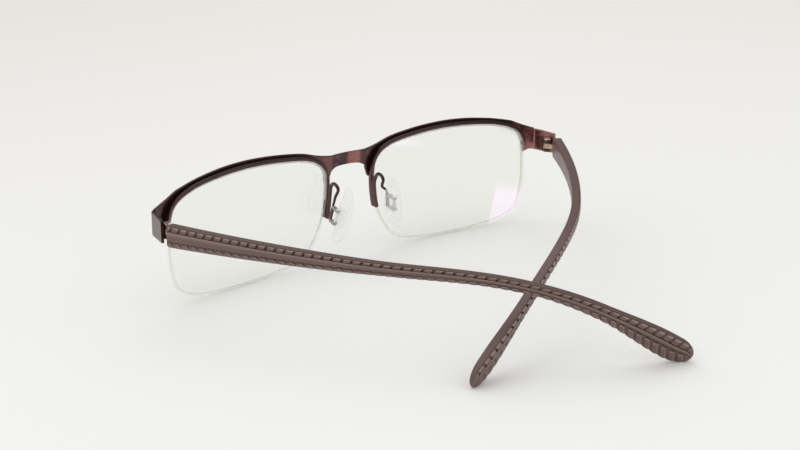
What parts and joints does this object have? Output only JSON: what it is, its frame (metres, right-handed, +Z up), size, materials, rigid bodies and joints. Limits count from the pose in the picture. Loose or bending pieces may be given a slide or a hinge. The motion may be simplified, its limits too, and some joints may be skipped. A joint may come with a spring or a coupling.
{
  "type": "reading glasses",
  "caption": "Half-rim reading glasses: a stamped metal front over nylon-held clear lenses, rocking silicone nose pads and folding, tile-moulded temples with bent leaf tips.",
  "frame": {"origin": "midway between the lenses, at half the lens height, in the plane through the two lens backs at their middles", "axes": "+X to the wearer's right, +Y forward out of the front, +Z up"},
  "size_m": [0.1404, 0.119, 0.035],
  "materials": {
    "front_metal": "dark wine brown, brushed lengthwise and lacquered",
    "hinge_metal": "bronze-brown plated nickel silver",
    "screw_steel": "bright turned steel",
    "nylon": "clear to pale cream drawn line",
    "lens": "clear coated resin",
    "silicone": "clear moulded silicone",
    "pad_core": "clear moulded core",
    "temple_plastic": "satin brown moulded plastic"
  },
  "bodies": {
    "front": {"front_plate": "front_metal", "left_half_rim": "front_metal", "right_half_rim": "front_metal", "left_rim_liner": "nylon", "right_rim_liner": "nylon", "left_lens": "lens", "right_lens": "lens", "left_lens_cord": "nylon", "right_lens_cord": "nylon", "left_pad_arm": "front_metal", "right_pad_arm": "front_metal", "left_pad_screw": "screw_steel", "right_pad_screw": "screw_steel", "left_front_hinge": "hinge_metal", "right_front_hinge": "hinge_metal", "left_hinge_screw": "screw_steel", "right_hinge_screw": "screw_steel"},
    "left_temple_body": {"left_temple": "temple_plastic", "left_temple_hinge": "hinge_metal"},
    "right_temple_body": {"right_temple": "temple_plastic", "right_temple_hinge": "hinge_metal"},
    "left_pad_body": {"left_nose_pad": "silicone", "left_pad_core": "pad_core"},
    "right_pad_body": {"right_nose_pad": "silicone", "right_pad_core": "pad_core"}
  },
  "joints": [
    {"name": "left_temple_fold", "type": "hinge", "parent": "front", "child": "left_temple_body", "pos_m": [-0.06761, -0.01041, 0.0077], "axis": [0, 0, 1], "range_deg": [-29.2, 24]},
    {"name": "right_temple_fold", "type": "hinge", "parent": "front", "child": "right_temple_body", "pos_m": [0.06761, -0.01041, 0.0077], "axis": [0, 0, -1], "range_deg": [-41.8, 34.4]},
    {"name": "left_pad_rock", "type": "hinge", "parent": "front", "child": "left_pad_body", "pos_m": [-0.0106, -0.007, -0.0007], "axis": [0.1761, -0.2026, 0.9633], "range_deg": [-6, 6]},
    {"name": "right_pad_rock", "type": "hinge", "parent": "front", "child": "right_pad_body", "pos_m": [0.0106, -0.007, -0.0007], "axis": [-0.1761, -0.2026, 0.9633], "range_deg": [-6, 6]}
  ],
  "couplings": [
    {"joint": "right_temple_fold", "follows": "left_temple_fold", "ratio": 1.4315}
  ]
}
